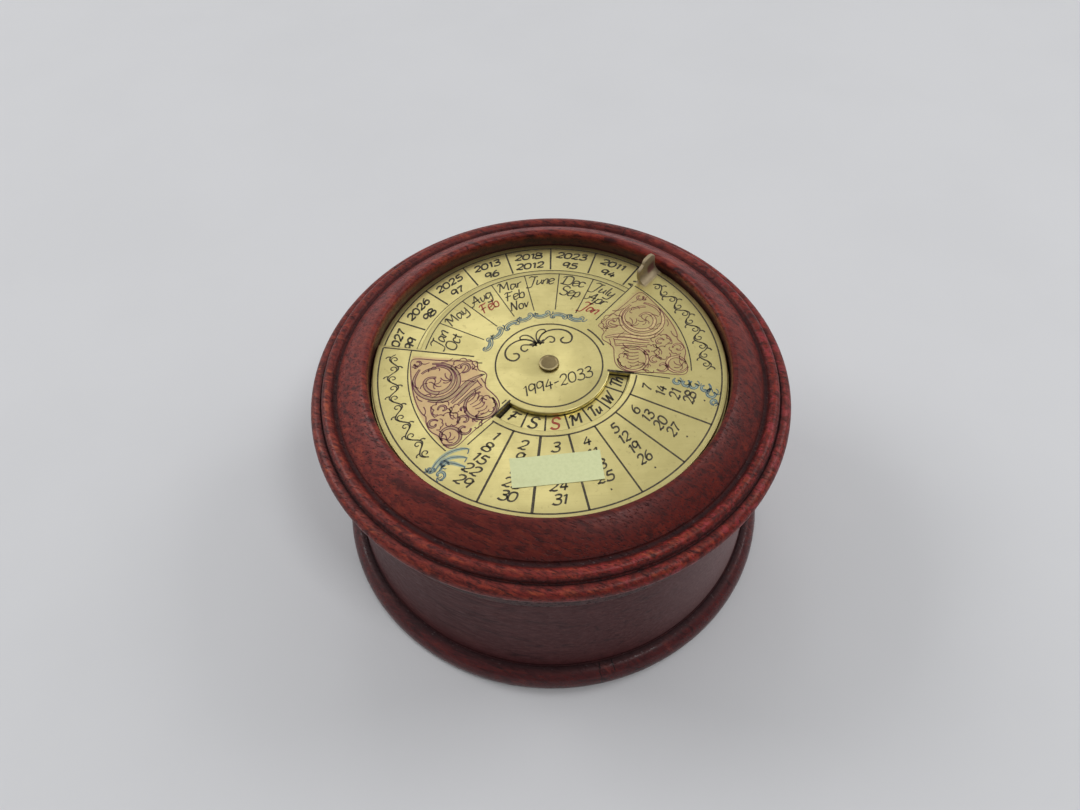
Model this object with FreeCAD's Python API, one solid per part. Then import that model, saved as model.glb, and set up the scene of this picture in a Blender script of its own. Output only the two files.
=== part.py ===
import FreeCAD, Part
import math
import os

# A round turned wooden desk box, whose lift-off lid carries a brass perpetual calendar
# of two plates on one rivet. Millimetres, +Z up. The origin is on the table under the
# axis of the box, and -Y is the front.

# Heights above the table
DIAL_TOP = 50.8         # top face of the month plate
JOINT = 36.5            # where the lid meets the drum
WALL_FOOT = 6.2         # where the drum stands on the base plate
WOOD_FOOT = 0.6         # underside of the turned base, above the felt

# Wooden lid ring, radii and heights of its mouldings
OPENING_R = 36.5        # well that the dial lies in
LIP_R = 37.5            # crest of the lip round the well
LIP_RISE = 2.5          # crest above the dial
LIP_FACE = 0.9          # height over which its inner arris is rolled
BAND_R = 43.2           # outer edge of the wide sloping band
BAND_DROP = 1.6         # its outer edge below the dial
BAND_CROWN = 0.35       # swelling of the band between lip and groove
GROOVE_W = 1.1          # groove outside the band
GROOVE_DEPTH = 0.7
GROOVE_OUTER_DROP = 0.35    # its outer edge below the band's edge
BEAD_R = 45.4           # small bead: crest radius
BEAD_DROP = 1.5         # its crest below the dial
QUIRK_R = 46.8          # fine groove between the two beads
QUIRK_DROP = 3.6
QUIRK_HALF = 0.2
QUIRK_INNER_H = 0.5     # height of its inner side, on the small bead
QUIRK_OUTER_H = 0.25
RIM_BEAD_R = 47.5       # large bead: centre of its round section
RIM_BEAD_DROP = 5.0
RIM_BEAD_SECTION = 1.7  # radius of its section
RIM_BEAD_TUCK = 0.4     # how far inside its centre the underside ends
SKIRT_R = 46.3          # plain wall of the lid below the bead
SKIRT_TOP_DROP = 7.6    # foot of the cove under the bead, below the dial
EASE = 0.35             # eased arrises of the wood

# Round panel that closes the lid and steps down into the drum
PANEL_R = 41.4
SPIGOT_R = 41.3
SPIGOT_BORE_R = 38.2
SPIGOT_DEPTH = 3.3
PANEL_TOP = 47.9
PANEL_UNDERSIDE = 43.0

# Drum and base
WALL_R = 46.0
WALL_WAIST = 0.3        # how much the wall draws in at half height
WALL_BORE_R = 41.5
LID_GAP = 0.1           # shadow gap between lid and drum
BASE_R = 49.7           # widest part of the base bead
BASE_WIDEST = 2.3       # its height
BASE_FOOT_R = 49.0
BASE_QUIRK_W = 0.45     # fine groove between the base bead and the wall
BASE_QUIRK_DROPS = (0.5, 0.65, 0.4)     # its outer edge, floor and inner edge below the wall
BOSS_TOP = 8.4          # step of the base that locates the drum
FELT_R = 47.2
FELT_T = 1.0
FELT_PLAY = 0.1         # radial play of the felt in its recess

# Linings of the inside: cloth glued on cut card, and a strip round the wall
CARD_T = 1.0
CLOTH_T = 0.8
FLOOR_LINING_R = 41.0
LID_LINING_R = 38.0
WALL_LINING_TOP = 32.8

# Wood screws through the base into the drum
SCREW_COUNT = 4
SCREW_CIRCLE_R = 43.75
SCREW_SHANK_R = 1.4
SCREW_HEAD_R = 2.7
SCREW_LENGTH = 14.0
SCREW_POINT = 3.0       # tapered length
SCREW_TIP_R = 0.15
SCREW_SLOT_W = 0.8
SCREW_SLOT_D = 0.6
SCREW_SLOT_TURN = 1.7   # spreads the slots round, as a hand-driven set has them

# Brass dial
PLATE_T = 0.8
MONTH_PLATE_R = 36.0
YEAR_PLATE_R = 36.2
RUNNING_GAP = 0.03      # free height between the turning plate and what it runs on
SPACER_T = 0.27
SPACER_R = 6.0
RIVET_R = 1.5
RIVET_PLAY = 0.05       # radial play of the month plate on the rivet
RIVET_HEAD_R = 2.03
RIVET_HEAD_H = 0.6
RIVET_HEAD_EDGE = 0.15  # straight side of the head
RIVET_TAIL_R = 2.2
RIVET_TAIL_H = 0.4
RIVET_TAIL_CHAMFER = 0.3
BURR_R = 3.2            # washer that the rivet is clenched over
BURR_T = 0.5
PAD_R = 30.0
PAD_HOLE_R = 3.6

# Openings of the month plate, as angles from +X seen from above
DAY_WINDOW = (229.5, 349.5)
DAY_WINDOW_R = (12.4, 16.5)
YEAR_NOTCH = (49.5, 169.5)
YEAR_NOTCH_R = 27.0
PLATE_EDGE_ROUND = 0.25
SHORTEST_ROLLED = 3.5   # shorter edges of the plate are left square

# Finger tab, bent up from the month plate at the right end of the year notch
TAB_IN_R = 30.0
TAB_OUT_R = 35.9
TAB_H = 5.0
TAB_INNER_CORNER = 3.0
TAB_OUTER_CORNER = 2.2
TAB_BEND_R = 1.9        # inside radius of the bend
TAB_SINK = 0.1          # how far it is sunk into the plate where they join

# Paper label, blank
LABEL_SIZE = (17.1, 6.45)
LABEL_T = 0.1
LABEL_CENTRE = (0.9, -25.3)
LABEL_TURN = 5.0

BITE = 1 - math.sqrt(0.5)       # a quarter round's middle from its corner, per radius
CLEAR = 1.0             # how far a cutter reaches past what it cuts

Z_AXIS = FreeCAD.Vector(0, 0, 1)
CENTRE = FreeCAD.Vector(0, 0, 0)

SPACER_BASE = DIAL_TOP - PLATE_T - RUNNING_GAP - SPACER_T
YEAR_TOP = SPACER_BASE
YEAR_BASE = YEAR_TOP - PLATE_T
FLOOR_CARD_TOP = BOSS_TOP + CARD_T
FLOOR_CLOTH_TOP = FLOOR_CARD_TOP + CLOTH_T
LID_CARD_BASE = PANEL_UNDERSIDE - CARD_T
LID_CLOTH_BASE = LID_CARD_BASE - CLOTH_T


def point(r, z):
    """A point of a turned section: radius r, height z."""
    return FreeCAD.Vector(r, 0, z)


def polar(r, degrees, z=0.0):
    """A point at radius r and an angle from +X."""
    a = math.radians(degrees)
    return FreeCAD.Vector(r * math.cos(a), r * math.sin(a), z)


def turned(*section):
    """Revolves a closed section about the axis. Each item is a point (r, z), or an arc's
    through point and end, ((r, z), (r, z))."""
    edges = []
    here = first = section[0]
    for item in section[1:] + (first,):
        if isinstance(item[0], tuple):
            through, end = item
            arc = Part.Arc(point(*here), point(*through), point(*end))
            edges.append(arc.toShape())
        else:
            end = item
            if end != here:
                edges.append(Part.LineSegment(point(*here), point(*end)).toShape())
        here = end
    face = Part.Face(Part.Wire(edges))
    return face.revolve(CENTRE, Z_AXIS, 360)


def disc(r, low, high):
    """A flat round piece between two heights."""
    return Part.makeCylinder(r, high - low, FreeCAD.Vector(0, 0, low))


def ring(r_in, r_out, low, high):
    """A flat ring between two heights."""
    return disc(r_out, low, high).cut(disc(r_in, low - CLEAR, high + CLEAR))


def sector(r_in, r_out, start, end, low, high):
    """A piece of a flat ring between two angles."""
    middle = (start + end) / 2
    edges = [
        Part.LineSegment(polar(r_in, start), polar(r_out, start)).toShape(),
        Part.Arc(polar(r_out, start), polar(r_out, middle), polar(r_out, end)).toShape(),
        Part.LineSegment(polar(r_out, end), polar(r_in, end)).toShape(),
        Part.Arc(polar(r_in, end), polar(r_in, middle), polar(r_in, start)).toShape(),
    ]
    solid = Part.Face(Part.Wire(edges)).extrude(FreeCAD.Vector(0, 0, high - low))
    solid.translate(FreeCAD.Vector(0, 0, low))
    return solid


def lid_rim():
    """Moulded ring of the lid: lip, wide band, groove, two beads and plain skirt."""
    band_z = DIAL_TOP - BAND_DROP
    lip_z = DIAL_TOP + LIP_RISE
    lip_w = LIP_R - OPENING_R
    band_mid = ((LIP_R + BAND_R) / 2, (lip_z + band_z) / 2 + BAND_CROWN)
    groove_mid = (BAND_R + GROOVE_W / 2, band_z - GROOVE_DEPTH)
    groove_end = (BAND_R + GROOVE_W, band_z - GROOVE_OUTER_DROP)
    bead_z = DIAL_TOP - BEAD_DROP
    quirk_z = DIAL_TOP - QUIRK_DROP
    rim_z = DIAL_TOP - RIM_BEAD_DROP
    half = RIM_BEAD_SECTION * math.sqrt(0.5)
    tuck_r = RIM_BEAD_R - RIM_BEAD_TUCK
    tuck_z = rim_z - math.sqrt(RIM_BEAD_SECTION ** 2 - RIM_BEAD_TUCK ** 2)
    cove_z = DIAL_TOP - SKIRT_TOP_DROP
    cove_mid = (SKIRT_R + (tuck_r - SKIRT_R) * BITE, tuck_z - (tuck_z - cove_z) * BITE)
    return turned(
        (PANEL_R, PANEL_TOP),
        (OPENING_R, PANEL_TOP),
        (OPENING_R, lip_z - LIP_FACE),
        ((OPENING_R + lip_w * BITE, lip_z - LIP_FACE * BITE), (LIP_R, lip_z)),
        (band_mid, (BAND_R, band_z)),
        (groove_mid, groove_end),
        ((BEAD_R, bead_z), (QUIRK_R - QUIRK_HALF, quirk_z + QUIRK_INNER_H)),
        ((QUIRK_R, quirk_z), (QUIRK_R + QUIRK_HALF, quirk_z + QUIRK_OUTER_H)),
        ((RIM_BEAD_R + half, rim_z + half), (RIM_BEAD_R + RIM_BEAD_SECTION, rim_z)),
        ((RIM_BEAD_R + half, rim_z - half), (tuck_r, tuck_z)),
        (cove_mid, (SKIRT_R, cove_z)),
        (SKIRT_R, JOINT + EASE),
        ((SKIRT_R - EASE * BITE, JOINT + EASE * BITE), (SKIRT_R - EASE, JOINT)),
        (PANEL_R, JOINT),
    )


def lid_panel():
    """Round panel glued into the ring from below. It carries the dial, and its lower edge
    stands proud as the spigot that centres the lid on the drum."""
    spigot_foot = JOINT - SPIGOT_DEPTH
    return turned(
        (0, PANEL_UNDERSIDE),
        (SPIGOT_BORE_R, PANEL_UNDERSIDE),
        (SPIGOT_BORE_R, spigot_foot),
        (SPIGOT_R - EASE, spigot_foot),
        ((SPIGOT_R - EASE * BITE, spigot_foot + EASE * BITE), (SPIGOT_R, spigot_foot + EASE)),
        (SPIGOT_R, JOINT),
        (PANEL_R, JOINT),
        (PANEL_R, PANEL_TOP),
        (0, PANEL_TOP),
    )


def drum_wall(screws):
    """Turned wall of the box, drawn in slightly at half height, with a screw hole for
    each base screw."""
    top = JOINT - LID_GAP
    middle = (top + WALL_FOOT) / 2
    wall = turned(
        (WALL_BORE_R, WALL_FOOT),
        (WALL_R, WALL_FOOT),
        ((WALL_R - WALL_WAIST, middle), (WALL_R, top - EASE)),
        ((WALL_R - EASE * BITE, top - EASE * BITE), (WALL_R - EASE, top)),
        (WALL_BORE_R, top),
    )
    return wall.cut(screws)


def base_plate(screws):
    """Turned foot with its ovolo bead, a boss that locates the drum, a shallow recess for
    the felt and countersunk screw holes."""
    recess_r = FELT_R + FELT_PLAY
    ovolo_r = WALL_R + BASE_QUIRK_W
    ovolo_z, quirk_z, wall_z = (WALL_FOOT - drop for drop in BASE_QUIRK_DROPS)
    foot_mid = (BASE_R - (BASE_R - BASE_FOOT_R) * BITE, WOOD_FOOT + (BASE_WIDEST - WOOD_FOOT) * BITE)
    ovolo_mid = (BASE_R - (BASE_R - ovolo_r) * BITE, ovolo_z - (ovolo_z - BASE_WIDEST) * BITE)
    plate = turned(
        (0, FELT_T),
        (recess_r, FELT_T),
        (recess_r, WOOD_FOOT),
        (BASE_FOOT_R, WOOD_FOOT),
        (foot_mid, (BASE_R, BASE_WIDEST)),
        (ovolo_mid, (ovolo_r, ovolo_z)),
        ((WALL_R + BASE_QUIRK_W / 2, quirk_z), (WALL_R, wall_z)),
        (WALL_R, WALL_FOOT),
        (WALL_BORE_R, WALL_FOOT),
        (WALL_BORE_R, BOSS_TOP),
        (0, BOSS_TOP),
    )
    return plate.cut(screws)


def wood_screw(angle):
    """One countersunk screw standing on its head, with its shank tapered to a point."""
    head_h = SCREW_HEAD_R - SCREW_SHANK_R
    tip = FELT_T + SCREW_LENGTH
    body = turned(
        (0, FELT_T),
        (SCREW_HEAD_R, FELT_T),
        (SCREW_SHANK_R, FELT_T + head_h),
        (SCREW_SHANK_R, tip - SCREW_POINT),
        (SCREW_TIP_R, tip),
        (0, tip),
    )
    body.translate(polar(SCREW_CIRCLE_R, angle))
    return body


def screw_set():
    """The base screws, as separate solids."""
    step = 360 / SCREW_COUNT
    return [wood_screw(step * (i + 0.5)) for i in range(SCREW_COUNT)]


def slotted(screw, angle):
    """The same screw with its driver slot."""
    reach = SCREW_HEAD_R + CLEAR
    slot = Part.makeBox(2 * reach, SCREW_SLOT_W, SCREW_SLOT_D + CLEAR)
    slot.translate(FreeCAD.Vector(-reach, -SCREW_SLOT_W / 2, FELT_T - CLEAR))
    slot.rotate(CENTRE, Z_AXIS, angle * SCREW_SLOT_TURN)
    slot.translate(polar(SCREW_CIRCLE_R, angle))
    return screw.cut(slot)


def year_plate():
    """Lower dial plate, fixed in the lid."""
    return ring(RIVET_R, YEAR_PLATE_R, YEAR_BASE, YEAR_TOP)


def month_plate():
    """Upper dial plate, with its day window, year notch and bent-up finger tab."""
    low = DIAL_TOP - PLATE_T
    plate = ring(RIVET_R + RIVET_PLAY, MONTH_PLATE_R, low, DIAL_TOP)
    window = sector(*DAY_WINDOW_R, *DAY_WINDOW, low - CLEAR, DIAL_TOP + CLEAR)
    notch = sector(YEAR_NOTCH_R, MONTH_PLATE_R + CLEAR, *YEAR_NOTCH, low - CLEAR, DIAL_TOP + CLEAR)
    plate = plate.cut(window).cut(notch)
    top_edges = [
        edge for edge in plate.Edges
        if abs(edge.BoundBox.ZMin - DIAL_TOP) < 0.001
        and abs(edge.BoundBox.ZMax - DIAL_TOP) < 0.001
        and edge.BoundBox.DiagonalLength > SHORTEST_ROLLED
    ]
    plate = plate.makeFillet(PLATE_EDGE_ROUND, top_edges)
    return plate.fuse(finger_tab(low)).removeSplitter()


def drawn(start, *items):
    """A closed outline of lines and arcs. Each item is a point, or an arc's through point
    and end."""
    edges = []
    here = start
    for item in items + (start,):
        if isinstance(item, tuple):
            through, end = item
            edges.append(Part.Arc(here, through, end).toShape())
        else:
            end = item
            edges.append(Part.LineSegment(here, end).toShape())
        here = end
    return Part.Face(Part.Wire(edges))


def finger_tab(low):
    """Tongue of the plate bent up along the notch's right end, with rounded corners and a
    wide bend at its foot."""
    root = low + TAB_SINK
    crest = DIAL_TOP + TAB_H
    inner = TAB_INNER_CORNER
    outer = TAB_OUTER_CORNER

    def up(r, z):
        return FreeCAD.Vector(r, 0, z)

    def across(y, z):
        return FreeCAD.Vector(TAB_IN_R, -PLATE_T - y, z)

    tongue = drawn(
        up(TAB_IN_R, root),
        up(TAB_IN_R, crest - inner),
        (up(TAB_IN_R + inner * BITE, crest - inner * BITE), up(TAB_IN_R + inner, crest)),
        up(TAB_OUT_R - outer, crest),
        (up(TAB_OUT_R - outer * BITE, crest - outer * BITE), up(TAB_OUT_R, crest - outer)),
        up(TAB_OUT_R, root),
    ).extrude(FreeCAD.Vector(0, -PLATE_T, 0))
    bend = drawn(
        across(-TAB_SINK, root),
        across(TAB_BEND_R, root),
        across(TAB_BEND_R, DIAL_TOP),
        (across(TAB_BEND_R * BITE, DIAL_TOP + TAB_BEND_R * BITE), across(0, DIAL_TOP + TAB_BEND_R)),
        across(-TAB_SINK, DIAL_TOP + TAB_BEND_R),
    ).extrude(FreeCAD.Vector(TAB_OUT_R - TAB_IN_R, 0, 0))
    tab = tongue.fuse(bend)
    tab.rotate(CENTRE, Z_AXIS, YEAR_NOTCH[0])
    return tab


def pivot_rivet():
    """Brass rivet: low domed head above the month plate, tail clenched under the burr."""
    head_z = DIAL_TOP + RUNNING_GAP
    tail_top = YEAR_BASE - BURR_T
    tail = tail_top - RIVET_TAIL_H
    edge = head_z + RIVET_HEAD_EDGE
    dome_rise = RIVET_HEAD_H - RIVET_HEAD_EDGE
    dome_r = (RIVET_HEAD_R ** 2 + dome_rise ** 2) / (2 * dome_rise)
    dome_z = edge + dome_rise - dome_r
    half = math.asin(RIVET_HEAD_R / dome_r) / 2
    shoulder = (dome_r * math.sin(half), dome_z + dome_r * math.cos(half))
    return turned(
        (0, tail),
        (RIVET_TAIL_R - RIVET_TAIL_CHAMFER, tail),
        (RIVET_TAIL_R, tail_top),
        (RIVET_R, tail_top),
        (RIVET_R, head_z),
        (RIVET_HEAD_R, head_z),
        (RIVET_HEAD_R, edge),
        (shoulder, (0, edge + dome_rise)),
    )


def blank_label():
    """Paper label stuck on the month plate."""
    width, height = LABEL_SIZE
    label = Part.makeBox(width, height, LABEL_T)
    label.translate(FreeCAD.Vector(-width / 2, -height / 2, 0))
    label.rotate(CENTRE, Z_AXIS, LABEL_TURN)
    label.translate(FreeCAD.Vector(*LABEL_CENTRE, DIAL_TOP))
    return label


def build():
    """Every piece by its name, bottom to top."""
    plain_screws = screw_set()
    cutter = Part.makeCompound(plain_screws)
    step = 360 / SCREW_COUNT
    screws = [slotted(s, step * (i + 0.5)) for i, s in enumerate(plain_screws)]
    return {
        "base_felt": disc(FELT_R, 0, FELT_T),
        "base_plate": base_plate(cutter),
        "base_screws": Part.makeCompound(screws),
        "drum_wall": drum_wall(cutter),
        "floor_card": disc(FLOOR_LINING_R, BOSS_TOP, FLOOR_CARD_TOP),
        "floor_lining": disc(FLOOR_LINING_R, FLOOR_CARD_TOP, FLOOR_CLOTH_TOP),
        "wall_lining": ring(WALL_BORE_R - CLOTH_T, WALL_BORE_R, FLOOR_CLOTH_TOP, WALL_LINING_TOP),
        "lid_rim": lid_rim(),
        "lid_panel": lid_panel(),
        "lid_card": disc(LID_LINING_R, LID_CARD_BASE, PANEL_UNDERSIDE),
        "lid_lining": disc(LID_LINING_R, LID_CLOTH_BASE, LID_CARD_BASE),
        "dial_pad": ring(PAD_HOLE_R, PAD_R, PANEL_TOP, YEAR_BASE),
        "rivet_burr": ring(RIVET_R, BURR_R, YEAR_BASE - BURR_T, YEAR_BASE),
        "year_plate": year_plate(),
        "spacer_washer": ring(RIVET_R + RIVET_PLAY, SPACER_R, SPACER_BASE, SPACER_BASE + SPACER_T),
        "pivot_rivet": pivot_rivet(),
        "month_plate": month_plate(),
        "blank_label": blank_label(),
    }


os.makedirs("parts", exist_ok=True)
for name, shape in build().items():
    if not shape.isValid():
        raise ValueError(name + " is not a valid shape")
    shape.exportStep("parts/" + name + ".step")
    box = shape.BoundBox
    print("%-14s %d solid(s) %9.1f mm3  z %6.2f to %6.2f  r %6.2f" % (
        name, len(shape.Solids), shape.Volume, box.ZMin, box.ZMax, box.XMax))
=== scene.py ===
import bmesh
import bpy
import math
from mathutils import Matrix, Vector


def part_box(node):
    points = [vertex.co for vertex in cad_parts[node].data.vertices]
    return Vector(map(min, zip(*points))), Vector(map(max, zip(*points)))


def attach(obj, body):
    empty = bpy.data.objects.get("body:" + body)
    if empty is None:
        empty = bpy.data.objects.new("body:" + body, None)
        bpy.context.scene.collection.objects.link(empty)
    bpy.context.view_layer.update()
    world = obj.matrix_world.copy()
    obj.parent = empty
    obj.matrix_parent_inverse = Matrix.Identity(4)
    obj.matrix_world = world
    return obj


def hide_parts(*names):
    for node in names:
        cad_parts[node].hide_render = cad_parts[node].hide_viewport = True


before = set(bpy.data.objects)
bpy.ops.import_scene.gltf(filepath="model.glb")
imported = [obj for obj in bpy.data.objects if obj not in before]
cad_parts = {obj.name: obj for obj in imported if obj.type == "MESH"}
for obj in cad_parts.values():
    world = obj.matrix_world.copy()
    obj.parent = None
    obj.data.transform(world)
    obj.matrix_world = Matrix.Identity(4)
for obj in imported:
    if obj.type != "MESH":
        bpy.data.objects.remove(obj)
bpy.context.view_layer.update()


# Camera
# In front of the box and looking down on the dial, a little off the middle of the frame.
MM = 0.001
FRAME_W = 1080
FRAME_H = 810
SENSOR_W = 36.0
FOCAL_PIXELS = 840.4
DIAL_PIXEL = (549.0, 363.9)          # where the dial's centre lies in the photograph
CAMERA_PITCH = math.radians(50.41)
CAMERA_ROLL = math.radians(1.53)
CAMERA_DISTANCE = 171.0 * MM
DIAL_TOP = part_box("blank_label")[0].z / MM

sin_pitch = math.sin(CAMERA_PITCH)
cos_pitch = math.cos(CAMERA_PITCH)
to_dial = Vector((DIAL_PIXEL[0] - FRAME_W / 2, FRAME_H / 2 - DIAL_PIXEL[1], FOCAL_PIXELS))
aim = Vector((0, 0, 1)).rotation_difference(to_dial.normalized()).to_matrix()
level = Matrix(((1, 0, 0), (0, sin_pitch, cos_pitch), (0, cos_pitch, -sin_pitch)))
right, up, ahead = aim @ Matrix.Rotation(CAMERA_ROLL, 3, "Z") @ level
eye = Vector((0, -cos_pitch * CAMERA_DISTANCE, DIAL_TOP * MM + sin_pitch * CAMERA_DISTANCE))
lens = bpy.data.cameras.new("camera")
lens.sensor_width = SENSOR_W
lens.lens = FOCAL_PIXELS / FRAME_W * SENSOR_W
lens.clip_start = 0.01
camera = bpy.data.objects.new("camera", lens)
camera.matrix_world = Matrix.Translation(eye) @ Matrix((right, up, -ahead)).transposed().to_4x4()
bpy.context.scene.collection.objects.link(camera)
bpy.context.scene.camera = camera
bpy.context.scene.view_settings.view_transform = "Standard"


# Table and room
# A pale sheet of paper under a ceiling of soft lamps, in a plain pale room.
def paint(red, green, blue):
    """A screen colour, 0 to 255, as the colour that a shader takes."""
    def linear(c):
        c /= 255
        return c / 12.92 if c <= 0.04045 else ((c + 0.055) / 1.055) ** 2.4
    return linear(red), linear(green), linear(blue), 1.0


class Signal:
    """An output of a node in a finish. Sums written with it become Math nodes."""

    def __init__(self, finish, socket):
        self.finish = finish
        self.socket = socket

    def sum(self, operation, first, second=0.0):
        return self.finish.node("Math", {0: first, 1: second}, operation=operation)

    def __add__(self, other):
        return self.sum("ADD", self, other)

    def __radd__(self, other):
        return self.sum("ADD", other, self)

    def __sub__(self, other):
        return self.sum("SUBTRACT", self, other)

    def __rsub__(self, other):
        return self.sum("SUBTRACT", other, self)

    def __mul__(self, other):
        return self.sum("MULTIPLY", self, other)

    def __rmul__(self, other):
        return self.sum("MULTIPLY", other, self)

    def __truediv__(self, other):
        return self.sum("DIVIDE", self, other)

    def __pow__(self, other):
        return self.sum("POWER", self, other)

    def __abs__(self):
        return self.sum("ABSOLUTE", self)


class Finish:
    """A material, or the room, that is being made up from nodes."""

    def __init__(self, name, owner=None, coordinates="Object"):
        self.owner = owner or bpy.data.materials.new(name)
        self.owner.use_nodes = True
        self.tree = self.owner.node_tree
        self.tree.nodes.clear()
        self.place = self.node("TexCoord", out=coordinates)

    def node(self, kind, sockets=(), out=0, stops=(), **settings):
        node = self.tree.nodes.new("ShaderNode" + kind)
        for name, value in settings.items():
            setattr(node, name, value)
        for i, (position, colour) in enumerate(stops):
            ramp = node.color_ramp.elements
            stop = ramp[i] if i < 2 else ramp.new(position)
            stop.position = position
            stop.color = colour
        for name, value in dict(sockets).items():
            if isinstance(value, Signal):
                self.tree.links.new(value.socket, node.inputs[name])
            else:
                node.inputs[name].default_value = value
        return Signal(self, node.outputs[out]) if node.outputs else None

    def axes(self):
        """X, Y and Z of the place, in metres."""
        return (self.node("SeparateXYZ", {0: self.place}, out=i) for i in range(3))

    def along(self, x, y, degrees):
        """How far (x, y) lies out along a bearing, and how far to its left."""
        a = math.radians(degrees)
        return x * math.cos(a) + y * math.sin(a), y * math.cos(a) - x * math.sin(a)

    def noise(self, place, size, detail=3.0, rough=0.55, bend=0.0):
        """Cloudy noise, 0 to 1, whose lumps are about size (mm) across."""
        return self.node("TexNoise", {"Vector": place, "Scale": 1 / (size * MM), "Detail": detail,
                                      "Roughness": rough, "Distortion": bend})

    def fade(self, value, low, high):
        """0 below low and 1 above high, eased between them."""
        return self.node("MapRange", {0: value, 1: low, 2: high}, interpolation_type="SMOOTHSTEP")

    def blend(self, factor, under, over, how="MIX"):
        """Colour under with colour over laid on it by the factor."""
        return self.node("Mix", {0: factor, 6: under, 7: over}, out=2,
                         data_type="RGBA", blend_type=how)

    def bump(self, height, depth):
        """The normal of a surface whose height, 0 to 1, is depth millimetres of relief."""
        return self.node("Bump", {"Height": height, "Distance": depth * MM})

    def surface(self, colour, roughness, **sockets):
        """Closes the finish with a Principled shader. A socket's name has _ for a space."""
        inputs = {"Base Color": colour, "Roughness": roughness}
        inputs.update({name.replace("_", " "): value for name, value in sockets.items()})
        self.node("OutputMaterial", {"Surface": self.node("BsdfPrincipled", inputs)})
        return self.owner


def paper():
    """Pale photographic paper, with the faintest mottling."""
    f = Finish("table_paper")
    cloud = f.noise(f.place, 60, detail=4)
    tone = f.blend(f.fade(cloud, 0.35, 0.7) * 0.25, paint(213, 214, 217), paint(204, 205, 208))
    return f.surface(tone, 0.75)


TABLE_HALF = 2.5
sheet = bmesh.new()
bmesh.ops.create_grid(sheet, x_segments=8, y_segments=8, size=TABLE_HALF)
table_mesh = bpy.data.meshes.new("table")
sheet.to_mesh(table_mesh)
sheet.free()
table = bpy.data.objects.new("table", table_mesh)
table_mesh.materials.append(paper())
bpy.context.scene.collection.objects.link(table)

ROOM_TONE = (0.61, 0.615, 0.63, 1.0)     # the room behind the table
DIM_SIDE = 0.30                          # how bright it is behind the camera, to the right
BRIGHT_SIDE = 0.76                       # and opposite
LEAN = -0.35                             # how far the bright side lies to the left
room = Finish("room", bpy.data.worlds.new("room"), "Generated")
side = room.node("VectorMath", {0: room.place, 1: (LEAN, 1.0, 0.0)}, out="Value",
                 operation="DOT_PRODUCT")
fall = room.node("MapRange", {0: side, 1: -0.8, 2: 0.8, 3: DIM_SIDE, 4: BRIGHT_SIDE},
                 interpolation_type="SMOOTHSTEP")
light = room.node("Background", {"Strength": fall})
pale = room.node("Background", {"Color": ROOM_TONE})
seen = room.node("LightPath", out="Is Camera Ray")
room.node("OutputWorld", {"Surface": room.node("MixShader", {0: seen, 1: light, 2: pale})})
bpy.context.scene.world = room.owner


def lamp(name, place, size, power):
    """A soft lamp, size (width, height), that faces the box."""
    light = bpy.data.lights.new(name, "AREA")
    light.shape = "RECTANGLE"
    light.size, light.size_y = size
    light.energy = power
    holder = bpy.data.objects.new(name, light)
    away = Vector(place)
    holder.matrix_world = Matrix.Translation(away) @ away.to_track_quat("Z", "Y").to_matrix().to_4x4()
    bpy.context.scene.collection.objects.link(holder)


lamp("lamp_back", (-0.10, 0.62, 0.92), (0.18, 0.50), 0.40)
lamp("lamp_left", (-0.85, 0.35, 0.80), (0.5, 0.5), 3.9)
lamp("lamp_right", (0.85, 0.30, 0.80), (0.5, 0.5), 3.0)
lamp("lamp_front", (0.36, -0.36, 0.95), (0.22, 0.22), 2.2)


# base_felt
# A disc of green baize cut to fit the shallow recess under the foot, and glued there.
FELT_R = 47.2
FELT_T = 1.0
SHARP = 1.2             # edges that turn by more than this, in radians, get rounded


def disc(radius, low, high, rounding, rings=10, around=144):
    """A round flat piece with a rounded rim, in millimetres."""
    bm = bmesh.new()
    bmesh.ops.create_circle(bm, radius=radius, segments=around, cap_ends=True)
    for _ in range(rings):
        caps = [f for f in bm.faces if len(f.verts) == around]
        bmesh.ops.inset_region(bm, faces=caps, thickness=radius / (rings + 2))
    bmesh.ops.poke(bm, faces=[f for f in bm.faces if len(f.verts) == around])
    walls = bmesh.ops.extrude_face_region(bm, geom=bm.faces[:])
    top = [v for v in walls["geom"] if isinstance(v, bmesh.types.BMVert)]
    bmesh.ops.translate(bm, vec=(0, 0, high - low), verts=top)
    bmesh.ops.translate(bm, vec=(0, 0, low), verts=bm.verts[:])
    bmesh.ops.recalc_face_normals(bm, faces=bm.faces[:])
    rim = [e for e in bm.edges if len(e.link_faces) == 2 and e.calc_face_angle() > SHARP]
    bmesh.ops.bevel(bm, geom=rim, offset=rounding, segments=3, profile=0.5,
                    affect="EDGES", material=-1)
    return bm


def piece(name, bm, finish, body, nodes=(), corner=40):
    """Turns a millimetre bmesh into a piece of the object, riding on a body. Edges sharper
    than the corner angle stay crisp."""
    bmesh.ops.scale(bm, vec=(MM, MM, MM), verts=bm.verts[:])
    for face in bm.faces:
        face.smooth = True
    for edge in bm.edges:
        edge.smooth = edge.calc_face_angle(0.0) < math.radians(corner)
    mesh = bpy.data.meshes.new(name)
    bm.to_mesh(mesh)
    bm.free()
    mesh.materials.append(finish)
    made = bpy.data.objects.new(name, mesh)
    bpy.context.scene.collection.objects.link(made)
    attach(made, body)
    if nodes:
        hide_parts(*nodes)
    return made


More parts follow.
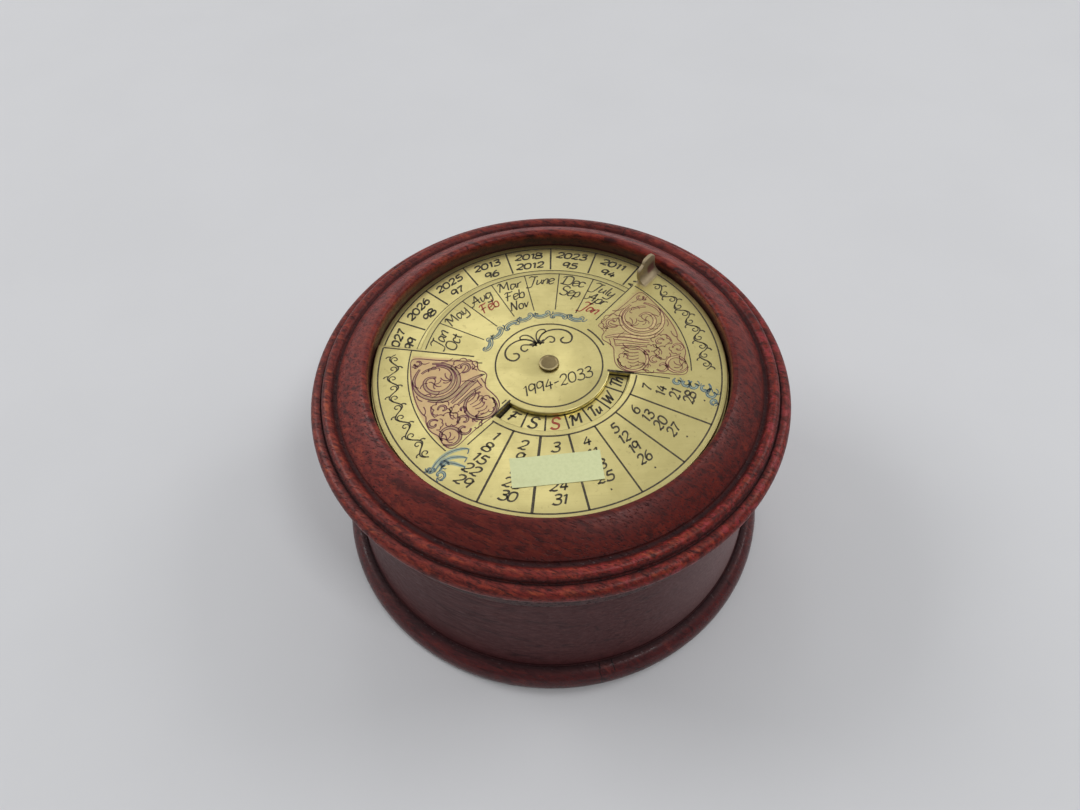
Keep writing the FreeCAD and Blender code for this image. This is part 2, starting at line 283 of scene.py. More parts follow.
def cloth(name, colour, shade, thread, fuzz):
    """Napped cloth: short matted fibres over a soft unevenness of the dye."""
    f = Finish(name)
    fibres = f.noise(f.place, thread, detail=4, rough=0.7, bend=0.6)
    patches = f.noise(f.place, thread * 22, detail=3)
    tone = f.blend(f.fade(fibres, 0.34, 0.66), shade, colour)
    tone = f.blend(f.fade(patches, 0.42, 0.68) * 0.35, tone, shade)
    return f.surface(tone, 0.92, Normal=f.bump(fibres, fuzz), Sheen_Weight=0.35,
                     Sheen_Roughness=0.5, Sheen_Tint=colour)


baize = disc(FELT_R, 0, FELT_T, 0.2)
felt = piece("felt_pad", baize, cloth("baize", paint(38, 74, 52), paint(20, 44, 31), 0.35, 0.12),
             "box", ["base_felt"])


# base_plate
# The turned foot of dark rosewood-coloured hardwood, with one glossy bead round it and a
# step inside that locates the drum. The screw holes are under the felt.
GRAIN_TURN = math.radians(-24)
ARC_STEPS = 10
AROUND = 240


def turned(section):
    """Turns a closed section about the box's axis. Each item is a point (r, z), or an arc's
    through point and end, ((r, z), (r, z))."""
    bm = bmesh.new()
    here = first = bm.verts.new((section[0][0], 0, section[0][1]))
    for item in section[1:]:
        if isinstance(item[0], tuple):
            here = bow(bm, here, *item)
        else:
            there = bm.verts.new((item[0], 0, item[1]))
            bm.edges.new((here, there))
            here = there
    bm.edges.new((here, first))
    bmesh.ops.spin(bm, geom=bm.verts[:] + bm.edges[:], cent=(0, 0, 0), axis=(0, 0, 1),
                   angle=2 * math.pi, steps=AROUND, use_merge=True)
    bmesh.ops.remove_doubles(bm, verts=bm.verts[:], dist=0.001)
    bmesh.ops.recalc_face_normals(bm, faces=bm.faces[:])
    return bm


def bow(bm, start, through, end):
    """Draws the arc from a vertex through a point to an end by spinning the vertex."""
    a = Vector((start.co.x, start.co.z))
    b = Vector(through)
    c = Vector(end)
    doubled = 2 * (a.x * (b.y - c.y) + b.x * (c.y - a.y) + c.x * (a.y - b.y))
    aa, bb, cc = a.length_squared, b.length_squared, c.length_squared
    centre = Vector(((aa * (b.y - c.y) + bb * (c.y - a.y) + cc * (a.y - b.y)) / doubled,
                     (aa * (c.x - b.x) + bb * (a.x - c.x) + cc * (b.x - a.x)) / doubled))
    sweep = math.degrees((a - centre).angle_signed(b - centre)
                         + (b - centre).angle_signed(c - centre))
    run = bmesh.ops.spin(bm, geom=[start], cent=(centre.x, 0, centre.y), axis=(0, 1, 0),
                         angle=math.radians(sweep), steps=ARC_STEPS)
    return next(v for v in run["geom_last"] if isinstance(v, bmesh.types.BMVert))


def hardwood(name, block, dark, mid, light, pores=1.0, gloss=0.42, coat=0.0, shine=0.2, mottle=0.0,
             marks=None, wax_and_shade=(), worn=(), cracks=()):
    """Open-grained red hardwood, stained and lacquered. block is where in the plank the
    piece was cut from, mottle is how blotchy it is and marks adds the piece's own colouring,
    with painted light and shade among it. wax_and_shade lists grooves (radius, half width, lowest z)
    darkened by waxy dirt and dust and by painted shade, worn lists crests that are rubbed back,
    and cracks lists splits, as (angle in degrees, inner radius, outer radius)."""
    f = Finish(name)

    def along(length, width):
        """Coordinates that stretch a pattern along the grain."""
        return f.node("Mapping", {"Vector": f.place, "Location": [b * MM for b in block],
                                  "Rotation": (0, 0.04, GRAIN_TURN), "Scale": (length, width, width)},
                      vector_type="TEXTURE")

    x, y, z = f.axes()
    radius = (x * x + y * y) ** 0.5
    figure = f.noise(along(7, 1), 2.4, detail=5, rough=0.62, bend=1.0)
    flecks = f.noise(along(3.4, 1), 0.75, detail=4, rough=0.62)
    vessels = f.noise(along(8, 1), 0.27, detail=2, rough=0.5)
    stain = f.noise(f.place, 14, detail=3)
    tone = f.node("ValToRGB", {0: figure}, stops=[
        (0.33, dark), (0.68, light), (0.45, mid), (0.57, mid)])
    tone = f.blend(f.fade(flecks, 0.50, 0.64) * 0.72 * pores, tone, dark)
    tone = f.blend(f.fade(flecks, 0.47, 0.34) * 0.55, tone, light)
    tone = f.blend(f.fade(stain, 0.42, 0.66) * 0.35, tone, mid)
    if mottle:
        spots = f.noise(along(1.7, 1), 1.5, detail=4, rough=0.7)
        tone = f.blend(f.fade(spots, 0.52, 0.66) * mottle, tone, dark)
        tone = f.blend(f.fade(spots, 0.44, 0.33) * mottle, tone, light)
    if marks:
        tone = marks(f, tone, x, y, z, radius)
    open_pores = f.fade(vessels, 0.57, 0.68) * pores
    tone = f.blend(open_pores * 0.7, tone, paint(40, 14, 18))
    rubbed = 0.0
    for crest, half, low in worn:
        side = f.fade(x * -0.72 - y * 0.69, -34 * MM, 40 * MM)
        ridge = f.fade(abs(radius - crest * MM), half * MM, 0) * f.fade(z, low * MM, (low + 0.4) * MM)
        patchy = f.fade(figure + flecks * 0.7 + stain * 0.5, 1.10, 0.90)
        rubbed = rubbed + ridge * (side * 0.85 + 0.06) * patchy
    if worn:
        tone = f.blend(rubbed * 0.9, tone, paint(166, 78, 50))
    waxed_and_shaded = 0.0
    # Grooves and recesses are darkened: waxy dirt, and painted shade where they are deep. Dust greys them.
    for groove, half, low in wax_and_shade:
        ridge = f.fade(abs(radius - groove * MM) + (flecks - 0.5) * 1.4 * MM, half * MM, 0)
        waxed_and_shaded = waxed_and_shaded + ridge * f.fade(z, low * MM, (low + 0.2) * MM)
    if wax_and_shade:
        waxed_and_shaded = f.node("Clamp", {0: waxed_and_shaded})
        tone = f.blend(waxed_and_shaded * 0.85, tone, paint(36, 20, 23))
        dust = f.fade(f.noise(along(1.5, 1), 0.5, detail=4), 0.60, 0.72)
        tone = f.blend(waxed_and_shaded * dust * 0.6, tone, paint(96, 84, 84))
    split = 0.0
    for angle, inner, outer in cracks:
        out, aside = f.along(x, y, angle)
        drift = (f.noise(f.place, 1.6, detail=3) - 0.5) * 1.6 * MM
        reach = f.fade(radius, (inner - 0.3) * MM, inner * MM)
        reach = reach * f.fade(radius, (outer + 0.3) * MM, outer * MM)
        reach = reach * f.fade(out, 0, 20 * MM)
        split = split + f.fade(abs(aside + drift), 0.16 * MM, 0.05 * MM) * reach
    height = 0.7 - open_pores * 0.6 - flecks * 0.35
    if cracks:
        tone = f.blend(split * 0.9, tone, paint(18, 8, 10))
        height = height - split * 1.4
    rough = gloss + open_pores * 0.25 + (flecks - 0.5) * 0.35
    if wax_and_shade:
        rough = rough + waxed_and_shaded * 0.35
        coat = f.fade(waxed_and_shaded, 0.5, 0.0) * coat
    return f.surface(tone, rough, Normal=f.bump(height, 0.08), Specular_IOR_Level=shine,
                     Coat_Weight=coat, Coat_Roughness=0.16)


FOOT_SECTION = [
    (0, 1.0), (47.3, 1.0), (47.3, 0.6), (49.0, 0.6),
    ((49.5, 1.2), (49.7, 2.3)),
    ((48.75, 4.6), (46.45, 5.7)),
    ((46.2, 5.55), (46.0, 5.8)),
    (46.0, 6.2), (41.5, 6.2), (41.5, 8.4), (0, 8.4),
]
# Its wax_and_shade ring darkens the top of the foot round the drum: waxy dirt, with painted shade where
# the drum meets it.
foot_wood = hardwood("foot_wood", (310, 40, 7), paint(36, 13, 17), paint(76, 28, 30),
                     paint(106, 43, 38), pores=0.7, gloss=0.30, coat=0.35, shine=0.16,
                     wax_and_shade=[(46.6, 1.6, 4.6)],
                     cracks=[(281, 46.6, 50), (284.5, 46.6, 48.6)])
piece("foot", turned(FOOT_SECTION), foot_wood, "box", ["base_plate"])


# base_screws
# Four slotted steel wood screws, driven up through the foot into the drum before the felt
# went on.
def steel():
    f = Finish("screw_steel")
    scuff = f.noise(f.place, 0.5, detail=4)
    tone = f.blend(f.fade(scuff, 0.4, 0.7), paint(150, 150, 148), paint(112, 108, 104))
    return f.surface(tone, 0.3 + scuff * 0.25, Metallic=1.0, Normal=f.bump(scuff, 0.01))


def dress(node, finish):
    """Gives a CAD node its finish."""
    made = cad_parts[node]
    for place in made.material_slots:
        place.material = finish


dress("base_screws", steel())


# drum_wall
# The turned wall of the box, sanded and lacquered smoother than the lid, and slightly
# drawn in at half height.
WALL_SECTION = [
    (41.5, 6.2), (46.0, 6.2),
    ((45.7, 21.3), (46.0, 36.05)),
    ((45.9, 36.3), (45.65, 36.4)),
    (41.5, 36.4),
]


def wall_bloom(f, tone, x, y, z, radius):
    """Painted sheen: the wall turns grey towards the right."""
    return f.blend(f.fade(x + y * 0.2, 2 * MM, 44 * MM) * 0.6, tone, paint(150, 126, 126))


wall_wood = hardwood("drum_wood", (120, 90, 33), paint(56, 28, 30), paint(80, 43, 44),
                     paint(95, 54, 53), pores=0.3, gloss=0.48, shine=0.12, marks=wall_bloom,
                     wax_and_shade=[(46.0, 0.3, 35.9)])
piece("drum", turned(WALL_SECTION), wall_wood, "box", ["drum_wall"])


# floor_card and floor_lining
# A disc of grey board, covered with wine-red flocked cloth and dropped into the box.
FLOOR_R = 41.0
FLOOR_CARD_TOP = 9.4
CLOTH_T = 0.8


def board():
    f = Finish("grey_board")
    pulp = f.noise(f.place, 0.8, detail=5, rough=0.7)
    tone = f.blend(f.fade(pulp, 0.35, 0.7), paint(150, 143, 132), paint(120, 112, 102))
    return f.surface(tone, 0.9, Normal=f.bump(pulp, 0.05))


grey_board = board()
velvet = cloth("wine_velvet", paint(110, 24, 38), paint(66, 12, 22), 0.3, 0.1)
dress("floor_card", grey_board)
floor_cloth = piece("floor_cloth", disc(FLOOR_R, FLOOR_CARD_TOP, FLOOR_CARD_TOP + CLOTH_T, 0.3),
                    velvet, "box", ["floor_lining"])


# wall_lining
# A strip of the same cloth glued round the inside of the wall, its ends meeting in a butt
# seam at the back, and its top edge left soft.
WALL_BORE = 41.5
LINING_LOW = 10.2
LINING_HIGH = 32.8
LINING_IN = WALL_BORE - CLOTH_T
strip_section = [
    (LINING_IN, LINING_LOW), (WALL_BORE, LINING_LOW), (WALL_BORE, LINING_HIGH),
    ((WALL_BORE - 0.5, LINING_HIGH - 0.1), (LINING_IN, LINING_HIGH - 0.8)),
]
strip = turned(strip_section)
wall_cloth = piece("wall_cloth", strip, velvet, "box", ["wall_lining"])


# lid_rim
# The moulded ring of the lid: a lip round the well, a wide sloping band, a groove, two beads
# with a fine quirk between them, and a plain skirt. Its grooves are darkened by waxy dirt and
# dust and by painted shade, and the beads are rubbed back to lighter wood at the front left.
RIM_SECTION = [
    (41.4, 47.9), (36.5, 47.9), (36.5, 52.4),
    ((36.77, 53.05), (37.5, 53.3)),
    ((40.35, 51.6), (43.2, 49.2)),
    ((43.75, 48.5), (44.3, 48.85)),
    ((45.4, 49.3), (46.6, 47.7)),
    ((46.8, 47.2), (47.0, 47.45)),
    ((48.70, 47.00), (49.2, 45.8)),
    ((48.70, 44.60), (47.1, 44.15)),
    ((46.5, 43.85), (46.3, 43.2)),
    (46.3, 36.85),
    ((46.2, 36.6), (45.95, 36.5)),
    (41.4, 36.5),
]


def rim_marks(f, tone, x, y, z, radius):
    """Darker at the front right, partly the wood's own tone and partly painted shade, and redder on
    the right. The beads are blotchy, with painted highlights on the right, the skirt has painted
    shade down to its lower edge, and the well's wall has painted shade, olive as a painted
    reflection of the brass."""
    beads = f.fade(radius, 43.9 * MM, 44.6 * MM)
    right = f.fade(x - y * 0.45, 6 * MM, 44 * MM)
    # Painted shade, partly the wood's own darker tone: the band darkens towards the front right.
    darker_front_right = f.fade(x * 0.55 - y, 2 * MM, 40 * MM) * f.fade(radius, 45 * MM, 43 * MM)
    tone = f.blend(darker_front_right * 0.48, tone, paint(48, 15, 14))
    tone = f.blend(right, tone, (0.96, 0.64, 0.56, 1.0), "MULTIPLY")
    blotches = f.noise(f.place, 1.9, detail=4, rough=0.68, bend=0.8)
    tone = f.blend(beads * f.fade(blotches, 0.51, 0.58) * 0.45, tone, paint(44, 14, 18))
    # Painted highlight: light pink blotches on the beads on the right.
    tone = f.blend(beads * right * f.fade(blotches, 0.47, 0.39) * 0.42, tone, paint(164, 56, 66))
    # Painted shade on the skirt under the beads, down to its lower edge.
    skirt = f.fade(z, 44.9 * MM, 43.9 * MM) * f.fade(z, 36.7 * MM, 36.95 * MM)
    tone = f.blend(skirt * 0.75, tone, paint(34, 18, 20))
    # Painted shade on the well's wall, olive as a painted reflection of the brass.
    wall = f.fade(z, 52.6 * MM, 51.1 * MM) * f.fade(radius, 37.0 * MM, 36.6 * MM)
    return f.blend(wall * 0.8, tone, paint(54, 39, 34))


rim_wood = hardwood("lid_wood", (0, 0, 0), paint(48, 15, 16), paint(116, 41, 35),
                    paint(148, 62, 43), gloss=0.40, shine=0.24, mottle=0.5, marks=rim_marks,
                    wax_and_shade=[(43.75, 1.1, 47.6), (46.8, 0.65, 46.7)],
                    worn=[(45.35, 0.9, 47.5), (48.2, 1.0, 45.9)],
                    cracks=[(-3.0, 46.0, 50), (-1.2, 47.4, 50), (66, 44, 50)])
piece("lid_ring", turned(RIM_SECTION), rim_wood, "lid", ["lid_rim"])


# lid_panel, lid_card and lid_lining
# The round panel glued into the ring, whose lower edge stands proud as a spigot, and the
# covered card that hides its underside.
LID_CLOTH_R = 38.0
LID_CLOTH_TOP = 42.0
inner_wood = hardwood("inner_wood", (70, 210, 12), paint(60, 30, 26), paint(104, 58, 46),
                      paint(134, 82, 62), pores=0.7, gloss=0.6)
dress("lid_panel", inner_wood)
dress("lid_card", grey_board)
lid_cloth = piece("lid_cloth", disc(LID_CLOTH_R, LID_CLOTH_TOP - CLOTH_T, LID_CLOTH_TOP, 0.3),
                  velvet, "lid", ["lid_lining"])


# dial_pad and rivet_burr
# A ring of double-sided foam that holds the dial in its well, and the small brass washer
# that the rivet's tail is clenched over.
PAD_SECTION = [
    (3.6, 47.9), (29.7, 47.9),
    ((30.0, 48.4), (29.7, 48.9)),
    (3.6, 48.9),
]


def foam():
    f = Finish("foam")
    cells = f.node("TexVoronoi", {"Vector": f.place, "Scale": 1 / (0.35 * MM)})
    tone = f.blend(cells, paint(238, 236, 228), paint(214, 210, 198))
    return f.surface(tone, 0.9, Normal=f.bump(cells, 0.08))


pad = piece("foam_ring", turned(PAD_SECTION), foam(), "lid", ["dial_pad"])


def brass(name, colour, cloudy, dull, gloss, marks=None):
    """Rolled brass sheet under thin lacquer: faint draw lines along X, cloudy tarnish, a few
    scuffs, and the marks that the piece has of its own."""
    f = Finish(name)
    rolled = f.node("Mapping", {"Vector": f.place, "Scale": (0.05, 1, 1)})
    lines = f.noise(rolled, 0.25, detail=4, rough=0.6)
    clouds = f.noise(f.place, 7, detail=4, rough=0.6, bend=0.4)
    spots = f.noise(f.place, 0.9, detail=3)
    tone = f.blend(f.fade(clouds, 0.36, 0.66) * 0.7, colour, cloudy)
    tone = f.blend(f.fade(lines, 0.50, 0.72) * 0.35, tone, cloudy)
    tone = f.blend(f.fade(spots, 0.60, 0.78) * 0.5, tone, dull)
    rough = gloss + clouds * 0.16 + (lines - 0.5) * 0.14
    if marks:
        tone, rough = marks(f, tone, rough, *f.axes())
    relief = lines * 0.6 + spots * 0.4
    return f.surface(tone, rough, Metallic=1.0, Normal=f.bump(relief, 0.012),
                     Coat_Weight=0.12, Coat_Roughness=0.3)


def rivet_marks(f, tone, rough, x, y, z):
    """Painted shade makes its side nearly black, and a painted highlight brightens its raised rim in
    front.
    """
    tone = f.blend(f.fade(z, 51.3 * MM, 51.1 * MM) * 0.6, tone, paint(84, 70, 48))
    rim = f.fade((x * x + y * y) ** 0.5, 1.5 * MM, 1.65 * MM) * f.fade(z, 51.2 * MM, 51.3 * MM)
    return f.blend(rim * f.fade(y * -1 - x * 0.4, -1 * MM, MM) * 0.7, tone, paint(206, 190, 142)), rough


rivet_brass = brass("rivet_brass", paint(143, 127, 90), paint(120, 104, 72), paint(84, 70, 48), 0.40,
                    rivet_marks)
dress("rivet_burr", rivet_brass)


# year_plate
# The lower brass plate, fixed in the lid. It carries the years near its edge and the days of
# the week nearer its centre, in 21 cells each, printed in black and red.
PITCH = 360 / 21
DIAL_BRASS = (paint(219, 206, 141), paint(202, 189, 126), paint(174, 157, 102), 0.27)
plate_brass = brass("year_brass", *DIAL_BRASS)
dress("year_plate", plate_brass)
YEAR_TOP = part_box("year_plate")[1].z / MM
INK_T = 0.02            # how far the print stands above the plate
WASH_T = 0.008          # a pale wash is thinner
INK_SUNK = 0.01         # and how far it bites into the plate
NIB_ANGLE = math.radians(38)
SLANT = 0.21
YEAR_LINES = 53.9       # angle of the first line between years
DAY_LINES = 231.6       # angle of the first line between weekdays
YEAR_LINE_R = 35.1
DAY_LINE_R = 16.1
YEAR_CELLS = (
    "2011 94", "2023 95", "2018 2012", "2013 96", "2025 97", "2026 98", "2027 99",
    "2005 2016", "2000 2006", "2001 2007", "2002 2019", "2003 2008", "2009 2015", "2004 2010",
    "2022 2033", "2017 2028", "2029", "2024 2030", "2014 2031", "2020", "2021 2032",
)
DAYS = ("F", "S", "S", "M", "Tu", "W", "Th")
SUNDAY = 2

# How wide each letter and figure is, and its pen strokes as x,y points, in hundredths of
# its height
LETTERS = {
    " ": (35,),
    "0": (66, "30,100 0,100 0,0 56,0 56,100 30,100"),
    "1": (44, "6,80 26,100", "26,100 24,0"),
    "2": (66, "5,78 10,103 50,105 54,62 30,34 0,3", "0,3 20,10 36,-5 56,7"),
    "3": (62, "8,92 24,105 54,98 50,62 20,55", "20,55 58,56 56,-2 14,-6 0,12"),
    "4": (66, "34,100 2,34", "2,34 58,38", "42,72 38,0"),
    "5": (62, "16,97 10,56", "10,56 56,66 58,0 18,-6 0,10", "15,96 56,98"),
    "6": (62, "46,102 6,78 0,0 52,-6 54,52 20,60 6,30"),
    "7": (58, "2,90 54,96", "54,96 22,45 18,0"),
    "8": (64, "46,90 30,108 2,98 4,62 30,52 58,40 54,-2 26,-4 -2,0 -2,36 22,50 50,64 52,84 44,94"),
    "9": (62, "48,78 40,106 2,100 0,42 32,40 48,68", "50,98 44,0"),
    "-": (50, "4,44 40,50"),
    "A": (72, "-14,2 0,-10 16,30 40,100", "40,100 56,0", "2,40 30,32 62,42"),
    "D": (84, "16,95 14,2", "-8,80 10,110 74,104 76,0 30,-4 -4,6"),
    "F": (66, "22,95 12,0", "-6,84 14,106 36,90 64,100", "0,48 46,54"),
    "J": (60, "-10,82 6,106 34,90 60,100", "40,96 34,20 26,-44 -14,-34"),
    "M": (86, "0,0 12,100", "-12,80 -2,102 12,100", "12,100 34,32", "34,32 64,100", "64,100 68,0"),
    "N": (74, "2,0 10,100", "10,100 50,0", "50,0 60,104"),
    "O": (80, "36,100 -4,100 -2,0 70,0 68,100 36,100"),
    "S": (62, "54,84 46,108 4,104 2,62 30,50 56,36 50,-6 10,-6 -4,14"),
    "T": (58, "-6,84 8,104 34,92 58,100", "30,96 24,0"),
    "W": (90, "0,96 12,0", "12,0 38,80", "38,80 44,0", "44,0 78,100"),
    "a": (50, "38,46 20,62 0,50 0,0 16,-4 36,30", "40,55 36,0 48,6"),
    "b": (50, "8,100 2,0", "2,8 18,-8 44,0 44,56 20,60 4,34"),
    "c": (44, "38,44 32,60 0,60 0,-2 24,-5 40,12"),
    "e": (46, "2,28 42,34 38,62 0,62 0,-2 24,-5 42,12"),
    "g": (50, "38,46 20,62 0,50 0,2 18,0 38,30", "42,55 40,-42 12,-48 -14,-34"),
    "h": (50, "10,100 2,0", "4,30 20,62 42,62 38,20 38,0"),
    "l": (26, "12,100 5,2 20,3"),
    "n": (50, "6,54 2,0", "4,28 20,62 42,62 38,20 38,0"),
    "o": (50, "22,57 0,57 0,-2 42,-2 42,57 22,57"),
    "p": (52, "8,54 0,-44", "3,8 18,-8 46,0 44,56 20,60 6,34"),
    "r": (38, "6,54 2,0", "4,28 18,62 36,54"),
    "t": (34, "14,84 6,2 28,4", "-4,54 30,56"),
    "u": (50, "6,54 0,0 18,-5 36,28", "40,55 36,0 48,6"),
    "v": (46, "4,54 16,0", "16,0 42,56"),
    "y": (50, "6,54 0,2 18,-3 36,28", "42,55 40,-32 20,-50 -12,-38"),
}


def polar(r, degrees):
    """A point of the dial, in millimetres: radius r, angle from +X seen from above."""
    a = math.radians(degrees)
    return Vector((r * math.cos(a), r * math.sin(a)))


def new_ink():
    """An empty set of pen lines. Its section is a flat strip, one millimetre wide where a
    line's radius is one."""
    outline = bpy.data.curves.new("nib", "CURVE")
    corner = outline.splines.new("POLY")
    corner.points.add(3)
    for p, (across, high) in zip(corner.points, ((0.5, 0.1), (0.5, -0.1), (-0.5, -0.1), (-0.5, 0.1))):
        p.co = (across * MM, high * MM, 0, 1)
    corner.use_cyclic_u = True
    lines = bpy.data.curves.new("ink", "CURVE")
    lines.dimensions = "3D"
    lines.twist_mode = "Z_UP"
    lines.bevel_mode = "OBJECT"
    lines.bevel_object = bpy.data.objects.new("nib", outline)
    bpy.context.scene.collection.objects.link(lines.bevel_object)
    lines.use_fill_caps = True
    return lines


def draw(ink, points, widths, closed=False, smooth=4):
    """Adds one pen line through or near the points (mm), with a width (mm) at each."""
    if len(points) == 2:
        points = [points[0], (points[0] + points[1]) / 2, points[1]]
        widths = [widths[0], (widths[0] + widths[-1]) / 2, widths[-1]]
    line = ink.splines.new("NURBS")
    line.points.add(len(points) - 1)
    for p, place, width in zip(line.points, points, widths):
        p.co = (place.x * MM, place.y * MM, 0, 1)
        p.radius = width
    line.order_u = 3
    line.use_endpoint_u = not closed
    line.use_cyclic_u = closed
    line.resolution_u = smooth


def straight(ink, angle, r_in, r_out, width):
    """A ruled line along a radius."""
    draw(ink, [polar(r_in, angle), polar(r_out, angle)], [width, width], smooth=1)


def arc(ink, radius, start, end, width):
    """A ruled arc between two angles, or a whole circle."""
    count = max(3, round(abs(end - start) / 3) + 1)
    whole = abs(end - start) >= 360
    angles = [start + (end - start) * i / (count - 1) for i in range(count - whole)]
    draw(ink, [polar(radius, a) for a in angles], [width] * len(angles), closed=whole, smooth=2)


def pen(points, thick, thin):
    """The width of a broad nib at each point of a stroke."""
    widths = []
    for i in range(len(points)):
        step = points[min(i + 1, len(points) - 1)] - points[max(i - 1, 0)]
        turn = abs(math.sin(math.atan2(step.y, step.x) - NIB_ANGLE))
        widths.append(thin + (thick - thin) * turn)
    return widths


def write(ink, word, height, centre, up, thick=0.34, thin=0.13, tight=1.0):
    """Writes a word on a straight line, centred on a point, its tops towards the angle up."""
    width = sum(LETTERS[c][0] / 100 for c in word) * tight
    tops = polar(1, up)
    along = Vector((tops.y, -tops.x))
    start = -width / 2
    for c in word:
        advance, *strokes = LETTERS[c]
        for stroke in strokes:
            spots = [[int(n) / 100 for n in spot.split(",")] for spot in stroke.split()]
            flat = [Vector((start + x * tight + SLANT * (y - 0.5), y - 0.5)) * height for x, y in spots]
            place = [centre + along * p.x + tops * p.y for p in flat]
            draw(ink, place, pen(flat, thick, thin))
        start += advance / 100 * tight


def printed(name, ink, plate_top, colour, body, rise=INK_T):
    """Makes a set of pen lines into a thin film of ink on a plate."""
    holder = bpy.data.objects.new(name, ink)
    bpy.context.scene.collection.objects.link(holder)
    solid = bpy.data.meshes.new_from_object(holder.evaluated_get(bpy.context.evaluated_depsgraph_get()))
    bm = bmesh.new()
    bm.from_mesh(solid)
    bmesh.ops.scale(bm, vec=(1 / MM, 1 / MM, 1 / MM), verts=bm.verts[:])
    for v in bm.verts:
        v.co.z = plate_top + (rise if v.co.z > 0 else -INK_SUNK)
    bmesh.ops.remove_doubles(bm, verts=bm.verts[:], dist=0.0005)
    bmesh.ops.recalc_face_normals(bm, faces=bm.faces[:])
    bpy.data.objects.remove(ink.bevel_object)
    bpy.data.objects.remove(holder)
    f = Finish(name + "_ink")
    worn = f.noise(f.place, 0.5, detail=3)
    tone = f.blend(f.fade(worn, 0.40, 0.72) * 0.45, colour, paint(122, 110, 74))
    piece(name, bm, f.surface(tone, 0.45 + worn * 0.2), body, corner=20)


RED_INK = paint(158, 52, 40)
year_ink_and_shadow = new_ink()
day_ink = new_ink()
arc(year_ink_and_shadow, YEAR_LINE_R, 0, 360, 0.30)
arc(year_ink_and_shadow, 28.1, 0, 360, 0.16)
arc(year_ink_and_shadow, 16.15, 0, 360, 0.2)
for i, cell in enumerate(YEAR_CELLS):
    straight(year_ink_and_shadow, YEAR_LINES + PITCH * i, 28.4, YEAR_LINE_R, 0.38)
    straight(year_ink_and_shadow, DAY_LINES + PITCH * i, 11.5, DAY_LINE_R, 0.36)
    middle = YEAR_LINES + PITCH * (i + 0.5)
    rows = cell.split()
    for word, radius in zip(rows, (32.9, 29.9)):
        write(year_ink_and_shadow, word, 1.65, polar(radius, middle), middle, thick=0.56, thin=0.26, tight=1.6)
    day = i % len(DAYS)
    middle = DAY_LINES + PITCH * (i + 0.5)
    word = DAYS[day]
    write(day_ink if day == SUNDAY else year_ink_and_shadow, word, 2.4, polar(14.15, middle), middle + 180,
          thick=0.56, thin=0.24, tight=1.15 if len(word) < 2 else 0.95)
# Painted shadow: dark bars drawn on the year plate under the window's two ends.
for end, width in ((-1.0, 0.6), (118.0, 0.4)):      # bars at the ends of the window
    straight(year_ink_and_shadow, DAY_LINES + end, 12.3, DAY_LINE_R, width)
printed("year_print_and_shadow", year_ink_and_shadow, YEAR_TOP, paint(38, 32, 26), "lid")
printed("sunday_print", day_ink, YEAR_TOP, RED_INK, "lid")


# spacer_washer and pivot_rivet
# A thin nylon washer keeps the plates apart, and the brass rivet that the month plate turns
# on has a low flat head, dulled by handling.
def nylon():
    f = Finish("nylon")
    haze = f.noise(f.place, 1.5, detail=3)
    tone = f.blend(f.fade(haze, 0.4, 0.7), paint(228, 224, 210), paint(206, 200, 184))
    return f.surface(tone, 0.45 + haze * 0.1, Normal=f.bump(haze, 0.01))


dress("spacer_washer", nylon())
RIVET_SECTION = [
    (0, 48.0), (1.9, 48.0), (2.2, 48.4), (1.5, 48.4), (1.5, 50.83), (1.78, 50.83),
    ((1.98, 50.93), (2.02, 51.10)),
    ((1.97, 51.33), (1.80, 51.41)),
    ((1.64, 51.38), (1.52, 51.30)),
    ((0.8, 51.27), (0, 51.27)),
]
piece("rivet", turned(RIVET_SECTION), rivet_brass, "lid", ["pivot_rivet"])


# month_plate
# The upper brass plate, which turns on the rivet. It is stamped out with a window for the
# weekdays and a notch for the years, its edges rolled over, and a tongue beside the notch is
# bent up as the finger tab.
PLUM_MIDDLE = 199.6       # the bearings of the two printed panels
RUST_MIDDLE = 20.0
PLATE_T = 0.8
PLATE_R = 36.0
PLATE_BORE = 1.55
WINDOW = (229.5, 349.5)
WINDOW_R = (12.4, 16.5)
NOTCH = (49.5, 169.5)
NOTCH_R = 27.0
EDGE_ROUND = 0.26
TAB_BEND = 1.9
TAB_ROUND = 0.18
TAB_OUTLINE = (           # radius, height over the plate and how far the corner is rounded
    (35.9, 5.0, 2.2), (31.8, 5.0, 1.1), (31.6, 3.9, 0.3), (30.0, 3.1, 0.6),
)


def between(angle, span):
    return (angle - span[0]) % 360 < (span[1] - span[0]) % 360


